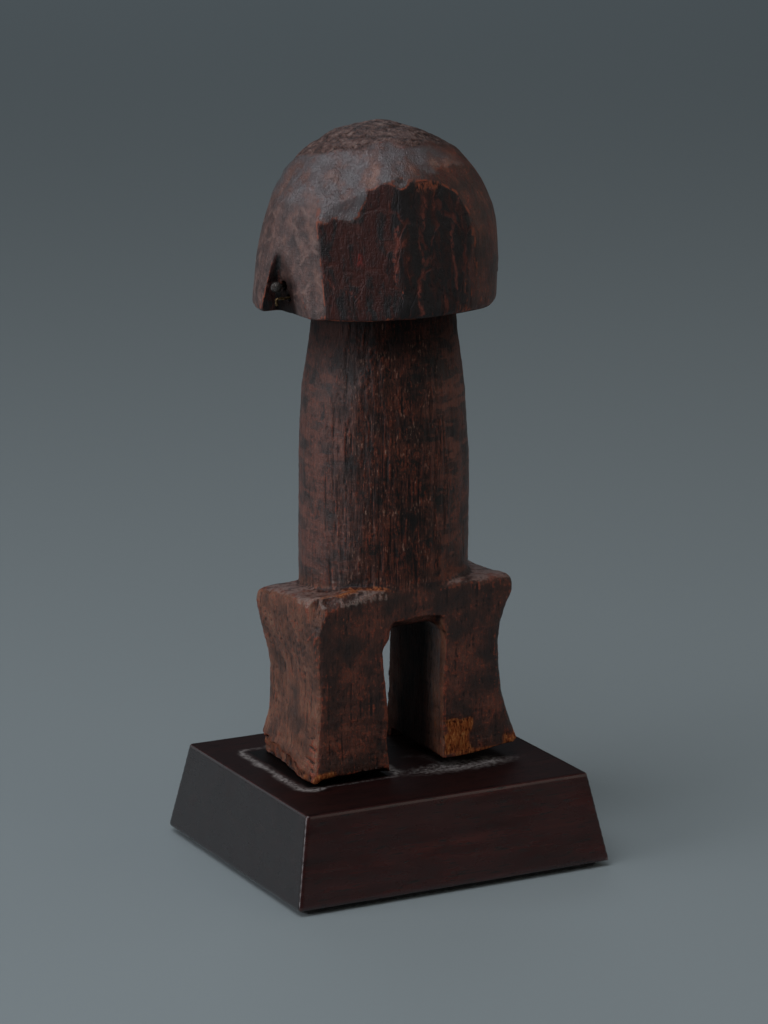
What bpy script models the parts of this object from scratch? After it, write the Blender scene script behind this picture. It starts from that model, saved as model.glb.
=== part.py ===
"""A carved wooden doll that stands on two pins in a small tapered plinth.

The doll is one piece of wood: a domed head, a round torso and a pair of blocky legs.
Its ears are shallow notches, each with an iron stud. The plinth is a separate mount.
World frame: +Z up, X across the doll's width, the doll's front faces -Y, and the
origin is the centre of the felt's underside.
"""
import math

import bmesh
import bpy
from mathutils import Matrix, Vector

MM = 0.001
GAP = 0.3 * MM

# Plinth and felt
PLINTH_WIDTH = 90.0 * MM
PLINTH_DEPTH = 80.0 * MM
PLINTH_HEIGHT = 23.5 * MM
PLINTH_TAPER = 4.5 * MM
PLINTH_ARRIS = 0.7 * MM
FELT_THICKNESS = 1.2 * MM
FELT_INSET = 2.0 * MM
PLINTH_BOTTOM = FELT_THICKNESS + GAP
PLINTH_TOP = PLINTH_BOTTOM + PLINTH_HEIGHT

# Torso: an oval trunk that narrows to the neck
TRUNK_CENTRE = Vector((1.2 * MM, 3.6 * MM, 0.0))
TRUNK_OVAL = 0.907
TRUNK_RADII = [  # height, half width, both in mm
    (60.0, 22.4),
    (76.0, 22.7),
    (92.0, 22.6),
    (106.0, 22.7),
    (116.0, 22.2),
    (124.0, 21.7),
    (131.0, 20.6),
    (139.0, 19.4),
    (148.0, 18.6),
    (156.0, 18.0),
]

# Head: a dome with a flat underside, cut back by planes at the front
HEAD_CENTRE = Vector((-0.6 * MM, 2.0 * MM, 0.0))
HEAD_WIDTH = 64.2 * MM
HEAD_OVAL = 0.86
RIM_HEIGHT = 145.7 * MM
RIM_ROUND = 1.6 * MM
WALL_TOP = 150.0 * MM
HEAD_TOP = 192.8 * MM
DOME_POWER = 2.65
RIM_SHIFT = -1.9 * MM
HEAD_FACETS = [  # outward direction of each cut, and its depth at the middle in mm
    ((-0.87, -0.46, 0.10), 1.8),
    ((-0.43, -0.89, 0.19), 2.95),
    ((0.03, -0.98, 0.18), 2.4),
    ((-0.50, -0.64, 0.58), 1.6),
    ((0.36, 0.92, 0.12), 1.3),
    ((-0.55, 0.82, 0.15), 1.2),
    ((0.90, 0.42, 0.14), 0.9),
]

# Ear notches, cut flat into the sides of the head and deeper towards the rim
EAR_FLOOR = 29.4 * MM
EAR_TURN = 4.0
EAR_TILT = 9.0
EAR_APEX = (-1.9 * MM, 161.5 * MM)
EAR_BASE = (3.0 * MM, 144.5 * MM)
STUD_PLACE = (-1.5 * MM, 153.1 * MM)
STUD_BALL_RADIUS = 1.5 * MM
STUD_SHANK_RADIUS = 0.6 * MM
STUD_SHANK_LENGTH = 6.0 * MM
STUD_HOLE_RADIUS = STUD_SHANK_RADIUS + GAP
WIRE_RADIUS = 0.4 * MM
WIRE_HOLE_RADIUS = WIRE_RADIUS + GAP
WIRE_HOLE_DEPTH = 3.0 * MM
WIRE_PLACE = (-2.9 * MM, 150.0 * MM)

# Hips and legs: one block, with the gap between the legs cut through it
LEG_SECTIONS = [  # in mm: height, left x at the back, left x at the front, right x, front y, back y
    (25.3, -29.0, -29.0, 32.3, -16.2, 20.2),
    (28.5, -28.8, -28.8, 32.2, -15.9, 20.0),
    (32.5, -27.6, -28.2, 31.0, -15.4, 19.2),
    (37.5, -26.6, -27.7, 28.9, -15.0, 18.4),
    (43.5, -26.2, -27.5, 27.0, -15.0, 18.0),
    (50.0, -26.4, -27.5, 26.1, -15.4, 17.7),
    (57.0, -28.0, -27.7, 25.5, -15.9, 17.3),
    (62.0, -29.4, -28.1, 26.0, -16.3, 17.4),
    (65.0, -30.0, -28.6, 27.0, -16.5, 17.5),
]
HIP_SIDES = (-30.2, -28.8, 29.5, -16.6, 17.6)
LEG_CORNER = 2.6
HIP_TOP = 75.6
HIP_LIP = 5.2
HIP_SLOPES = (0.13, 0.05)
HIP_ROUND = 2.4
LEG_GAP_LEFT = -8.5 * MM
LEG_GAP_RIGHT = 8.1 * MM
LEG_GAP_DEPTH = 60.0 * MM
LEG_GAP_FLARE = 1.2
LEG_GAP_KNEE = 34.0 * MM
LEG_GAP_LEAN = 0.23
LEG_GAP_TOP = 64.6 * MM
LEG_GAP_ROUND = 4.5 * MM
RIGHT_SOLE_POINT = (19.0, -14.0, 28.9)
RIGHT_SOLE_NORMAL = (0.03, 0.0, -1.0)

# Pins that stand in the plinth and reach into the feet
PIN_RADIUS = 1.5 * MM
PIN_HOLE_RADIUS = PIN_RADIUS + GAP
PIN_X = {"left": -17.0 * MM, "right": 19.0 * MM}
PIN_Y = 1.5 * MM
PIN_BOTTOM = 12.0 * MM
PIN_TOP = 44.0 * MM

WOOD = (0.075, 0.028, 0.018, 1.0)
MAHOGANY = (0.055, 0.016, 0.014, 1.0)
IRON = (0.035, 0.032, 0.030, 1.0)
BRASS = (0.42, 0.27, 0.10, 1.0)
STEEL = (0.35, 0.35, 0.36, 1.0)
FELT = (0.012, 0.012, 0.012, 1.0)


def clear_scene():
    """Remove everything that a new file starts with."""
    for item in list(bpy.data.objects):
        bpy.data.objects.remove(item, do_unlink=True)


def new_collection(name):
    """Make a collection under the scene."""
    collection = bpy.data.collections.new(name)
    bpy.context.scene.collection.children.link(collection)
    return collection


def material(name, colour, roughness, metallic=0.0):
    """Make a Principled material of one colour."""
    result = bpy.data.materials.new(name)
    result.use_nodes = True
    shader = result.node_tree.nodes["Principled BSDF"]
    shader.inputs["Base Color"].default_value = colour
    shader.inputs["Roughness"].default_value = roughness
    shader.inputs["Metallic"].default_value = metallic
    return result


def to_object(bm, name, collection, finish=None):
    """Turn a bmesh into a named object with outward normals."""
    bmesh.ops.recalc_face_normals(bm, faces=bm.faces)
    mesh = bpy.data.meshes.new(name)
    bm.to_mesh(mesh)
    bm.free()
    item = bpy.data.objects.new(name, mesh)
    if finish:
        mesh.materials.append(finish)
    collection.objects.link(item)
    return item


def as_cutter(item):
    """Show a cutting shape as wire only."""
    item.display_type = "WIRE"
    item.hide_render = True
    return item


def boolean(target, tool, operation):
    """Join or cut the target with another closed shape."""
    step = target.modifiers.new(operation.lower() + "_" + tool.name, "BOOLEAN")
    step.operation = operation
    step.solver = "EXACT"
    step.object = tool


def spin_profile(profile, steps=56):
    """Turn (radius, height) points about Z into a closed bmesh."""
    bm = bmesh.new()
    points = [bm.verts.new((radius, 0.0, height)) for radius, height in profile]
    edges = [bm.edges.new(pair) for pair in zip(points, points[1:])]
    bmesh.ops.spin(
        bm, geom=points + edges, cent=(0, 0, 0), axis=(0, 0, 1),
        angle=math.tau, steps=steps, use_merge=True,
    )
    bmesh.ops.remove_doubles(bm, verts=bm.verts, dist=1e-6)
    return bm


def cylinder(name, radius, start, end, collection, finish=None, segments=24):
    """A capped cylinder between two points."""
    start, end = Vector(start), Vector(end)
    along = end - start
    turn = along.to_track_quat("Z", "Y").to_matrix().to_4x4()
    bm = bmesh.new()
    bmesh.ops.create_cone(
        bm, cap_ends=True, segments=segments, radius1=radius, radius2=radius,
        depth=along.length, matrix=Matrix.Translation((start + end) / 2) @ turn,
    )
    return to_object(bm, name, collection, finish)


def slice_off(bm, point, normal):
    """Cut away what lies beyond a plane and close the cut."""
    cut = bmesh.ops.bisect_plane(
        bm, geom=bm.verts[:] + bm.edges[:] + bm.faces[:], dist=1e-7,
        plane_co=point, plane_no=normal, clear_outer=True,
    )
    rim = [part for part in cut["geom_cut"] if isinstance(part, bmesh.types.BMEdge)]
    bmesh.ops.edgeloop_fill(bm, edges=rim)


def rounded_rectangle(corners, radius, arc=4):
    """Points round a four-cornered outline, with an arc at each corner."""
    points = []
    for index, corner in enumerate(corners):
        before = (corners[index - 1] - corner).normalized() * radius
        after = (corners[(index + 1) % 4] - corner).normalized() * radius
        for step in range(arc + 1):
            share = step / arc
            start_side = corner + before * (1 - share) ** 2
            points.append(start_side + after * share ** 2)
    return points


def loft(rings):
    """Skin a stack of rings of equal count and cap both ends."""
    bm = bmesh.new()
    loops = []
    for ring in rings:
        verts = [bm.verts.new(point) for point in ring]
        loops.append([bm.edges.new((verts[i - 1], verts[i])) for i in range(len(verts))])
    for lower, upper in zip(loops, loops[1:]):
        bmesh.ops.bridge_loops(bm, edges=lower + upper)
    bmesh.ops.edgeloop_fill(bm, edges=loops[0])
    bmesh.ops.edgeloop_fill(bm, edges=loops[-1])
    return bm


def trunk():
    """The torso, from inside the hips to inside the head."""
    profile = [(0.0, TRUNK_RADII[0][0] * MM)]
    for height, radius in TRUNK_RADII:
        profile.append((radius * MM, height * MM))
    profile.append((0.0, TRUNK_RADII[-1][0] * MM))
    bm = spin_profile(profile)
    bmesh.ops.scale(bm, vec=(1.0, TRUNK_OVAL, 1.0), verts=bm.verts)
    bmesh.ops.translate(bm, vec=TRUNK_CENTRE, verts=bm.verts)
    return bm


def dome(steps=16):
    """The head: a domed cap whose wall leans out a little at its left rim."""
    radius = HEAD_WIDTH / 2
    profile = [(0.0, RIM_HEIGHT)]
    for turn in (0.0, 30.0, 60.0, 90.0):
        angle = math.radians(turn)
        profile.append((
            radius - RIM_ROUND * (1 - math.sin(angle)),
            RIM_HEIGHT + RIM_ROUND * (1 - math.cos(angle)),
        ))
    for step in range(steps + 1):
        angle = math.pi / 2 * step / steps
        rise = math.sin(angle) ** (2 / DOME_POWER)
        profile.append((radius * math.cos(angle), WALL_TOP + (HEAD_TOP - WALL_TOP) * rise))
    bm = spin_profile(profile)
    bmesh.ops.scale(bm, vec=(1.0, HEAD_OVAL, 1.0), verts=bm.verts)
    for vert in bm.verts:
        lean = max(0.0, 1 - (vert.co.z - RIM_HEIGHT) / (25 * MM))
        vert.co.x += RIM_SHIFT * lean
    bmesh.ops.translate(bm, vec=HEAD_CENTRE, verts=bm.verts)
    for direction, depth in HEAD_FACETS:
        outward = Vector(direction).normalized()
        furthest = max((vert.co for vert in bm.verts), key=outward.dot)
        slice_off(bm, furthest - outward * depth * MM, outward)
    return bm


def hips_and_legs():
    """One flared block, wide at the hips and the feet."""
    rings = []
    for height, left_back, left_front, right, front, back in LEG_SECTIONS:
        rings.append(leg_ring(height, left_back, left_front, right, front, back))
    rings.append(leg_ring(HIP_TOP - HIP_LIP, *HIP_SIDES, slopes=HIP_SLOPES))
    for turn in (0.0, 30.0, 60.0, 90.0):
        angle = math.radians(turn)
        drop = HIP_ROUND * (1 - math.sin(angle))
        inset = HIP_ROUND * (1 - math.cos(angle))
        rings.append(leg_ring(HIP_TOP - drop, *HIP_SIDES, inset=inset, slopes=HIP_SLOPES))
    return loft(rings)


def leg_ring(height, left_back, left_front, right, front, back, inset=0.0, slopes=(0.0, 0.0)):
    """One rounded outline across both legs, falling to the back by a slope for each side."""
    corners = [
        Vector((left_front + inset, front + inset)),
        Vector((right - inset, front + inset)),
        Vector((right - inset, back - inset)),
        Vector((left_back + inset, back - inset)),
    ]
    ring = []
    for point in rounded_rectangle(corners, LEG_CORNER):
        across = (point.x - left_front) / (right - left_front)
        slope = slopes[0] + (slopes[1] - slopes[0]) * across
        ring.append(Vector((point.x, point.y, height - slope * (point.y - front))) * MM)
    return ring


def leg_gap(collection):
    """The arched opening between the legs, wider at the back; its left wall leans in over the foot."""
    width = LEG_GAP_RIGHT - LEG_GAP_LEFT
    bm = bmesh.new()
    bmesh.ops.create_cube(bm, size=1.0)
    bmesh.ops.scale(bm, vec=(width, LEG_GAP_DEPTH, LEG_GAP_TOP), verts=bm.verts)
    rear = [vert for vert in bm.verts if vert.co.y > 0]
    bmesh.ops.scale(bm, vec=(LEG_GAP_FLARE, 1.0, 1.0), verts=rear)
    middle = ((LEG_GAP_LEFT + LEG_GAP_RIGHT) / 2, 0.0, LEG_GAP_TOP / 2)
    bmesh.ops.translate(bm, vec=middle, verts=bm.verts)
    bmesh.ops.bisect_plane(
        bm, geom=bm.verts[:] + bm.edges[:] + bm.faces[:], dist=1e-7,
        plane_co=(0.0, 0.0, LEG_GAP_KNEE), plane_no=(0.0, 0.0, 1.0),
    )
    foot = [vert for vert in bm.verts if vert.co.x < middle[0] and vert.co.z < MM]
    bmesh.ops.translate(bm, vec=(LEG_GAP_KNEE * LEG_GAP_LEAN, 0.0, 0.0), verts=foot)
    top_edges = [
        edge for edge in bm.edges
        if all(vert.co.z > LEG_GAP_TOP - MM for vert in edge.verts)
        and abs(edge.verts[0].co.y - edge.verts[1].co.y) > MM
    ]
    bmesh.ops.bevel(
        bm, geom=top_edges, offset=LEG_GAP_ROUND, segments=5, profile=0.5,
        affect="EDGES", material=-1,
    )
    return as_cutter(to_object(bm, "leg_gap_cut", collection))


def right_sole(collection):
    """What is missing under the right foot, which stands a little clear."""
    bm = bmesh.new()
    bmesh.ops.create_cube(bm, size=1.0)
    bmesh.ops.scale(bm, vec=(40 * MM, 60 * MM, 20 * MM), verts=bm.verts)
    bmesh.ops.translate(bm, vec=(0.0, 0.0, -10 * MM), verts=bm.verts)
    turn = Vector((0, 0, -1)).rotation_difference(Vector(RIGHT_SOLE_NORMAL))
    place = Matrix.Translation(Vector(RIGHT_SOLE_POINT) * MM) @ turn.to_matrix().to_4x4()
    bmesh.ops.transform(bm, matrix=place, verts=bm.verts)
    slice_off(bm, Vector((1 * MM, 0.0, 0.0)), Vector((-1.0, 0.0, 0.0)))
    return as_cutter(to_object(bm, "right_sole_cut", collection))


def ear_notch(side, collection):
    """The wedge cut from one side of the head; side is -1 on the left, 1 on the right."""
    reach = 20 * MM
    lean = math.atan2(EAR_BASE[0] - EAR_APEX[0], EAR_APEX[1] - EAR_BASE[1])
    bm = bmesh.new()
    bmesh.ops.create_cube(bm, size=1.0)
    bmesh.ops.scale(bm, vec=(reach, reach, 60 * MM), verts=bm.verts)
    bmesh.ops.translate(bm, vec=(side * reach / 2, -reach / 2, 0.0), verts=bm.verts)
    bmesh.ops.rotate(bm, cent=(0, 0, 0), matrix=Matrix.Rotation(lean, 3, "X"), verts=bm.verts)
    middle = [(low + high) / 2 for low, high in zip(EAR_APEX, EAR_BASE)]
    bmesh.ops.translate(bm, vec=(0.0, middle[0] - STUD_PLACE[0], middle[1] - STUD_PLACE[1]), verts=bm.verts)
    bmesh.ops.transform(bm, matrix=ear_frame(side), verts=bm.verts)
    name = "left_ear_cut" if side < 0 else "right_ear_cut"
    return as_cutter(to_object(bm, name, collection))


def ear_frame(side):
    """Where the stud meets the notch's floor, with X out of the floor on the right side."""
    floor = Vector((HEAD_CENTRE.x + side * EAR_FLOOR, *STUD_PLACE))
    turn = Matrix.Rotation(math.radians(-side * EAR_TURN), 4, "Z")
    tilt = Matrix.Rotation(math.radians(side * EAR_TILT), 4, "Y")
    return Matrix.Translation(floor) @ turn @ tilt


def carved_figure(parts, cutters, finish):
    """Head, torso and legs as one carving, with its notches and blind holes."""
    figure = to_object(hips_and_legs(), "carved_figure", parts, finish)
    boolean(figure, as_cutter(to_object(trunk(), "trunk_join", cutters)), "UNION")
    boolean(figure, leg_gap(cutters), "DIFFERENCE")
    boolean(figure, right_sole(cutters), "DIFFERENCE")
    boolean(figure, as_cutter(to_object(dome(), "dome_join", cutters)), "UNION")
    for side in (-1, 1):
        boolean(figure, ear_notch(side, cutters), "DIFFERENCE")
        start = ear_frame(side) @ Vector((side * MM, 0.0, 0.0))
        end = ear_frame(side) @ Vector((-side * (STUD_SHANK_LENGTH + GAP), 0.0, 0.0))
        name = "stud_hole_left" if side < 0 else "stud_hole_right"
        boolean(figure, as_cutter(cylinder(name, STUD_HOLE_RADIUS, start, end, cutters)), "DIFFERENCE")
    wire_hole = cylinder(
        "wire_hole", WIRE_HOLE_RADIUS, wire_place(-MM), wire_place(WIRE_HOLE_DEPTH + GAP),
        cutters, segments=16,
    )
    boolean(figure, as_cutter(wire_hole), "DIFFERENCE")
    for name, x in PIN_X.items():
        hole = cylinder(
            name + "_foot_hole", PIN_HOLE_RADIUS, (x, PIN_Y, 20 * MM),
            (x, PIN_Y, PIN_TOP + GAP), cutters,
        )
        boolean(figure, as_cutter(hole), "DIFFERENCE")
    return figure


def ear_stud(side, parts, finish):
    """A hand-forged nail with a ball head, driven into the ear notch."""
    shank_end = STUD_SHANK_LENGTH
    neck = STUD_SHANK_RADIUS / STUD_BALL_RADIUS
    profile = [(0.0, -shank_end), (STUD_SHANK_RADIUS * 0.5, -shank_end), (STUD_SHANK_RADIUS, -shank_end + MM)]
    first = math.asin(neck)
    centre = GAP + STUD_BALL_RADIUS
    for step in range(8):
        angle = first + (math.pi - first) * step / 7
        profile.append((
            max(0.0, STUD_BALL_RADIUS * math.sin(angle)) if step < 7 else 0.0,
            centre - STUD_BALL_RADIUS * math.cos(angle),
        ))
    bm = spin_profile(profile, steps=20)
    turn = Vector((0, 0, 1)).rotation_difference(Vector((side, 0, 0)))
    bmesh.ops.transform(bm, matrix=ear_frame(side) @ turn.to_matrix().to_4x4(), verts=bm.verts)
    name = "left_ear_stud" if side < 0 else "right_ear_stud"
    return to_object(bm, name, parts, finish)


def wire_place(inward, rise=0.0):
    """A point measured from where the wire leaves the left ear notch."""
    offset = [place - stud for place, stud in zip(WIRE_PLACE, STUD_PLACE)]
    return ear_frame(-1) @ Vector((inward, offset[0], offset[1] + rise))


def ear_wire(parts, finish):
    """The stub of a brass earring in the left ear, which sticks out and turns down."""
    route = [
        wire_place(WIRE_HOLE_DEPTH),
        wire_place(-0.5 * MM),
        wire_place(-1.6 * MM, rise=0.3 * MM),
        wire_place(-2.7 * MM, rise=0.5 * MM),
        wire_place(-3.1 * MM, rise=0.2 * MM),
        wire_place(-3.1 * MM, rise=-1.2 * MM),
    ]
    curve = bpy.data.curves.new("ear_wire_path", "CURVE")
    curve.dimensions = "3D"
    spline = curve.splines.new("POLY")
    spline.points.add(len(route) - 1)
    for point, place in zip(spline.points, route):
        point.co = (*place, 1.0)
    curve.bevel_depth = WIRE_RADIUS
    curve.bevel_resolution = 2
    curve.use_fill_caps = True
    wire = bpy.data.objects.new("ear_wire", curve)
    curve.materials.append(finish)
    parts.objects.link(wire)
    return wire


def plinth(parts, cutters, finish):
    """A tapered block with softened arrises and a hole for each pin."""
    bm = bmesh.new()
    bmesh.ops.create_cube(bm, size=1.0)
    bmesh.ops.scale(bm, vec=(PLINTH_WIDTH, PLINTH_DEPTH, PLINTH_HEIGHT), verts=bm.verts)
    upper = [vert for vert in bm.verts if vert.co.z > 0]
    narrowing = (1 - 2 * PLINTH_TAPER / PLINTH_WIDTH, 1 - 2 * PLINTH_TAPER / PLINTH_DEPTH, 1.0)
    bmesh.ops.scale(bm, vec=narrowing, verts=upper)
    bmesh.ops.translate(bm, vec=(0, 0, PLINTH_BOTTOM + PLINTH_HEIGHT / 2), verts=bm.verts)
    bmesh.ops.bevel(
        bm, geom=bm.edges[:], offset=PLINTH_ARRIS, segments=2, profile=0.5,
        affect="EDGES", material=-1,
    )
    block = to_object(bm, "plinth", parts, finish)
    for name, x in PIN_X.items():
        hole = cylinder(
            name + "_plinth_hole", PIN_HOLE_RADIUS, (x, PIN_Y, PIN_BOTTOM - GAP),
            (x, PIN_Y, PLINTH_TOP + 5 * MM), cutters,
        )
        boolean(block, as_cutter(hole), "DIFFERENCE")
    return block


def mount_pin(side, parts, finish):
    """A straight steel pin with chamfered ends."""
    chamfer = 0.4 * MM
    profile = [
        (0.0, PIN_BOTTOM),
        (PIN_RADIUS - chamfer, PIN_BOTTOM),
        (PIN_RADIUS, PIN_BOTTOM + chamfer),
        (PIN_RADIUS, PIN_TOP - chamfer),
        (PIN_RADIUS - chamfer, PIN_TOP),
        (0.0, PIN_TOP),
    ]
    bm = spin_profile(profile, steps=24)
    bmesh.ops.translate(bm, vec=(PIN_X[side], PIN_Y, 0.0), verts=bm.verts)
    return to_object(bm, side + "_mount_pin", parts, finish)


def base_felt(parts, finish):
    """The felt pad under the plinth."""
    bm = bmesh.new()
    bmesh.ops.create_cube(bm, size=1.0)
    size = (PLINTH_WIDTH - 2 * FELT_INSET, PLINTH_DEPTH - 2 * FELT_INSET, FELT_THICKNESS)
    bmesh.ops.scale(bm, vec=size, verts=bm.verts)
    bmesh.ops.translate(bm, vec=(0, 0, FELT_THICKNESS / 2), verts=bm.verts)
    upright = [
        edge for edge in bm.edges
        if abs(edge.verts[0].co.z - edge.verts[1].co.z) > FELT_THICKNESS / 2
    ]
    bmesh.ops.bevel(
        bm, geom=upright, offset=2 * MM, segments=4, profile=0.5,
        affect="EDGES", material=-1,
    )
    return to_object(bm, "base_felt", parts, finish)


def main():
    """Build every piece of the doll and its mount."""
    clear_scene()
    parts = new_collection("fertility_doll")
    cutters = new_collection("cutters")
    carved_figure(parts, cutters, material("carved_wood", WOOD, 0.5))
    for side in (-1, 1):
        name = "left_stud_iron" if side < 0 else "right_stud_iron"
        ear_stud(side, parts, material(name, IRON, 0.55, 1.0))
    ear_wire(parts, material("wire_brass", BRASS, 0.4, 1.0))
    plinth(parts, cutters, material("plinth_mahogany", MAHOGANY, 0.3))
    for side in PIN_X:
        mount_pin(side, parts, material(side + "_pin_steel", STEEL, 0.35, 1.0))
    base_felt(parts, material("felt", FELT, 0.95))


main()
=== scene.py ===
"""A carved wooden doll on its plinth: sculpted wood, forged studs, brass wire and old mahogany."""

import math

import bmesh
import bpy
import numpy as np
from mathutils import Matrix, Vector, noise


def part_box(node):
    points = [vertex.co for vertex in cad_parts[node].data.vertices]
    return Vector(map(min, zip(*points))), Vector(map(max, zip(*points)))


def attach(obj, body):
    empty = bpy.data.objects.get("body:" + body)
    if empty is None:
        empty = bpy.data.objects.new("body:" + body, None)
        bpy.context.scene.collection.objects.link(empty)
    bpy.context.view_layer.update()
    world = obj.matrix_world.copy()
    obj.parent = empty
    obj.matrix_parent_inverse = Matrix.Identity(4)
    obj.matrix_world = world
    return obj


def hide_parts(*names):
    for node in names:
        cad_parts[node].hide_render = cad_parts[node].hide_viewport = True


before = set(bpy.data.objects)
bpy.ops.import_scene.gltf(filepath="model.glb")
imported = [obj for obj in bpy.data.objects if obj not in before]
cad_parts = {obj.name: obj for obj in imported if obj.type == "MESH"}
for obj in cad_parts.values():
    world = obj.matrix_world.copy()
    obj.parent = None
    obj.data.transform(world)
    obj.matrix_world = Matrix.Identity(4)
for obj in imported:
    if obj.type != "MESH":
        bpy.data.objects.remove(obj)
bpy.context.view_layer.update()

MM = 0.001

# Camera
VIEW_AZIMUTH = 27.24
VIEW_DROP = 13.31
VIEW_DISTANCE = 0.985
VIEW_TARGET = Vector((-0.0036, -0.0059, 0.0928))
LENS = 135.0

# Radius of a stud's ball head, in mm
STUD_RADIUS = 1.5

# Size of the small quads each piece is sculpted from, in mm, and its triangles when finished
CARVING_VOXEL = 0.45
CARVING_TRIANGLES = 188000
PLINTH_VOXEL = 0.42
PLINTH_TRIANGLES = 120000
FELT_VOXEL = 0.6
FELT_TRIANGLES = 60000
STUD_VOXEL = 0.11
WIRE_VOXEL = 0.07

# Heights on the carving, in mm
FOOT_BREAK = 29.6       # where the left foot's outer side is split off
HIPS = 75.6             # the ledges of the hips
RIM = 145.7             # the underside of the head
FILM_HEM = 170.6        # the lowest hem of the film over the face
FACE_TOP = 178.6        # the top of the dark face
CROWN = 184.5           # where the flaking crown begins

# The width of a pin's filed chamfer, in metres
PIN_CHAMFER = 0.4 * MM

# Worn edges: start and end on the edge, outward direction, depth and reach of the wear, in mm
WORN_EDGES = [
    # the front of the left hip, pared away towards the torso
    ((-29.0, -16.6, 73.4), (-13.0, -16.6, 74.4), (-0.12, -0.84, 0.53), 1.7, 6.5),
    # the outer corner of the left hip
    ((-28.8, -16.4, 64.0), (-28.8, -16.4, 72.0), (-0.75, -0.62, 0.20), 1.0, 5.0),
    # the inner edge of the right leg and the top of the gap, rubbed by the knife
    ((8.3, -15.4, 34.0), (8.5, -15.6, 60.0), (-0.93, -0.36, 0.0), 0.7, 4.0),
    ((-6.0, -15.8, 64.6), (5.6, -15.8, 64.6), (0.0, -0.70, -0.70), 1.0, 4.0),
    # the underside of the left foot
    ((-22.0, -16.0, 25.3), (-13.0, -16.0, 25.3), (0.0, -0.45, -0.89), 2.0, 8.5),
    ((-28.9, -15.0, 25.3), (-28.9, 6.0, 25.3), (-0.55, -0.10, -0.83), 1.1, 4.5),
    # the tip and the underside of the right foot
    ((32.3, -15.5, 28.6), (32.3, 6.0, 28.6), (0.50, -0.15, -0.85), 1.9, 8.0),
    ((10.0, -15.8, 27.3), (26.0, -15.8, 27.8), (0.0, -0.60, -0.80), 0.4, 3.0),
]

# Hollows and swellings: middle, reach along X, Y and Z, and how far the surface is moved, in mm
HOLLOWS = [
    # the dished ledges of the hips, and the dip in the crown
    ((-24.0, -6.0, 76.0), (10.0, 14.0, 5.0), (0.0, 0.0, -1.4)),
    ((26.5, 2.0, 75.0), (6.0, 15.0, 4.0), (0.0, 0.0, -0.7)),
    ((16.0, 0.0, 190.0), (22.0, 20.0, 14.0), (0.0, 0.0, -0.5)),
    # the left leg's inner side, which fills the gap's corner and spreads towards the foot
    ((-8.9, -12.0, 64.5), (3.6, 14.0, 6.5), (1.7, 0.0, -1.5)),
    ((-8.6, -10.0, 28.0), (5.0, 16.0, 22.0), (1.1, 0.0, 0.0)),
    ((-8.8, -14.0, 42.0), (5.0, 18.0, 18.0), (1.7, 0.0, 0.0)),
]

# Cracks: start, end, half width and depth, in mm
CRACKS = [
    ((-27.5, -16.4, 41.6), (-27.6, -11.5, 40.4), 0.25, 0.6),
    ((-27.8, -16.4, 38.3), (-27.8, -8.5, 36.4), 0.30, 0.8),
    ((-27.9, -16.4, 36.2), (-27.9, -13.6, 36.4), 0.25, 0.6),
    ((-28.0, -16.4, 34.1), (-28.0, -10.8, 35.0), 0.30, 0.8),
    ((-28.4, -16.4, 31.0), (-28.4, -9.0, 31.6), 0.30, 0.9),
    ((-28.8, -16.4, 28.8), (-28.8, -13.0, 29.6), 0.30, 0.7),
    ((-28.0, 3.0, 36.0), (-27.4, 12.0, 37.5), 0.30, 0.6),
    ((-24.0, -16.2, 33.0), (-15.5, -16.2, 31.8), 0.30, 0.4),
    ((-12.0, -16.0, 29.5), (-8.5, -16.0, 30.4), 0.30, 0.4),
    ((12.0, -15.8, 46.5), (20.0, -15.8, 45.2), 0.30, 0.3),
    ((-8.8, -15.8, 66.5), (-5.5, -15.9, 70.5), 0.30, 0.5),
    ((-9.4, -15.6, 61.0), (-8.6, -15.8, 66.5), 0.30, 0.5),
    ((-17.0, 19.0, 30.0), (-15.5, 17.5, 58.0), 0.35, 0.9),
    ((6.0, 25.0, 92.0), (4.2, 25.0, 136.0), 0.30, 0.8),
]

# The rust-red veins on the face of the head: start and end across and up, in mm
VEINS = [
    ((0.8, 178.5), (-2.0, 160.0)),
    ((-2.0, 160.0), (-3.4, 146.0)),
    ((9.4, 175.0), (6.6, 160.0)),
    ((6.6, 160.0), (9.2, 146.0)),
    ((-7.0, 169.5), (-8.6, 156.0)),
    ((-2.0, 160.0), (6.6, 159.4)),
    ((-26.0, 158.0), (-18.5, 151.0)),
]


def linear(hexcode):
    """An sRGB hex colour as linear numbers, with an alpha of 1."""
    channels = [int(hexcode[i:i + 2], 16) / 255 for i in (0, 2, 4)]
    return tuple(
        c / 12.92 if c <= 0.04045 else ((c + 0.055) / 1.055) ** 2.4 for c in channels
    ) + (1.0,)


def smoothstep(low, high, value):
    """0 below low, 1 above high, and a smooth turn between; for numbers and arrays."""
    share = np.clip((value - low) / (high - low), 0.0, 1.0)
    return share * share * (3 - 2 * share)


def from_line(points, start, end):
    """Each point's distance to the stretch between two places."""
    start, end = np.array(start, float), np.array(end, float)
    along = end - start
    share = np.clip((points - start) @ along / (along @ along), 0.0, 1.0)
    return np.linalg.norm(points - start - share[:, None] * along, axis=1)


# ---------------------------------------------------------------- camera, light, floor

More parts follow.
